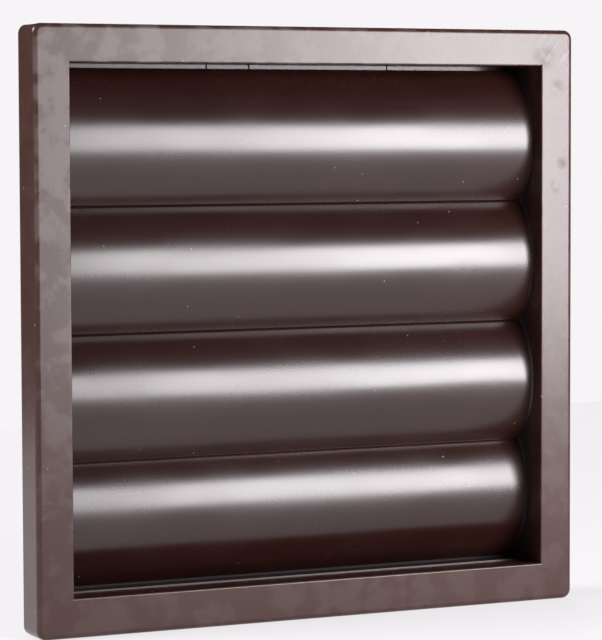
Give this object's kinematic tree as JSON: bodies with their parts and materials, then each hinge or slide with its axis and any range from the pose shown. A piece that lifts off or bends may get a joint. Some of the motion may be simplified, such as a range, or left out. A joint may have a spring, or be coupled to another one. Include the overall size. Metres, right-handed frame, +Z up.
{
  "type": "gravity vent grille",
  "caption": "Square moulded vent grille: a deep bezel frames a stack of curved flaps that hang shut by their own weight and swing out when air blows from behind.",
  "frame": {"origin": "centre of the box round the object, on the surface that its lower edge stands on", "axes": "+Y from the front through the grille into the wall, +Z up, +X to the right seen from the front"},
  "size_m": [0.19, 0.0238, 0.19],
  "materials": {
    "frame_plastic": "dark brown moulded plastic, softly glossy",
    "flap_plastic": "dark brown moulded plastic, glossy"
  },
  "bodies": {
    "frame": {"frame": "frame_plastic"},
    "flap_1": {"flap_1": "flap_plastic"},
    "flap_2": {"flap_2": "flap_plastic"},
    "flap_3": {"flap_3": "flap_plastic"},
    "flap_4": {"flap_4": "flap_plastic"}
  },
  "joints": [
    {"name": "flap_1_hinge", "type": "hinge", "parent": "frame", "child": "flap_1", "pos_m": [0, 0.0063, 0.1745], "axis": [-1, 0, 0], "range_deg": [0, 50]},
    {"name": "flap_2_hinge", "type": "hinge", "parent": "frame", "child": "flap_2", "pos_m": [0, 0.0063, 0.1343], "axis": [-1, 0, 0], "range_deg": [0, 50]},
    {"name": "flap_3_hinge", "type": "hinge", "parent": "frame", "child": "flap_3", "pos_m": [0, 0.0063, 0.0941], "axis": [-1, 0, 0], "range_deg": [0, 51]},
    {"name": "flap_4_hinge", "type": "hinge", "parent": "frame", "child": "flap_4", "pos_m": [0, 0.0063, 0.0539], "axis": [-1, 0, 0], "range_deg": [0, 61.5]}
  ],
  "couplings": [
    {"joint": "flap_2_hinge", "follows": "flap_1_hinge", "ratio": 1},
    {"joint": "flap_3_hinge", "follows": "flap_1_hinge", "ratio": 1.0186},
    {"joint": "flap_4_hinge", "follows": "flap_1_hinge", "ratio": 1.2281}
  ]
}
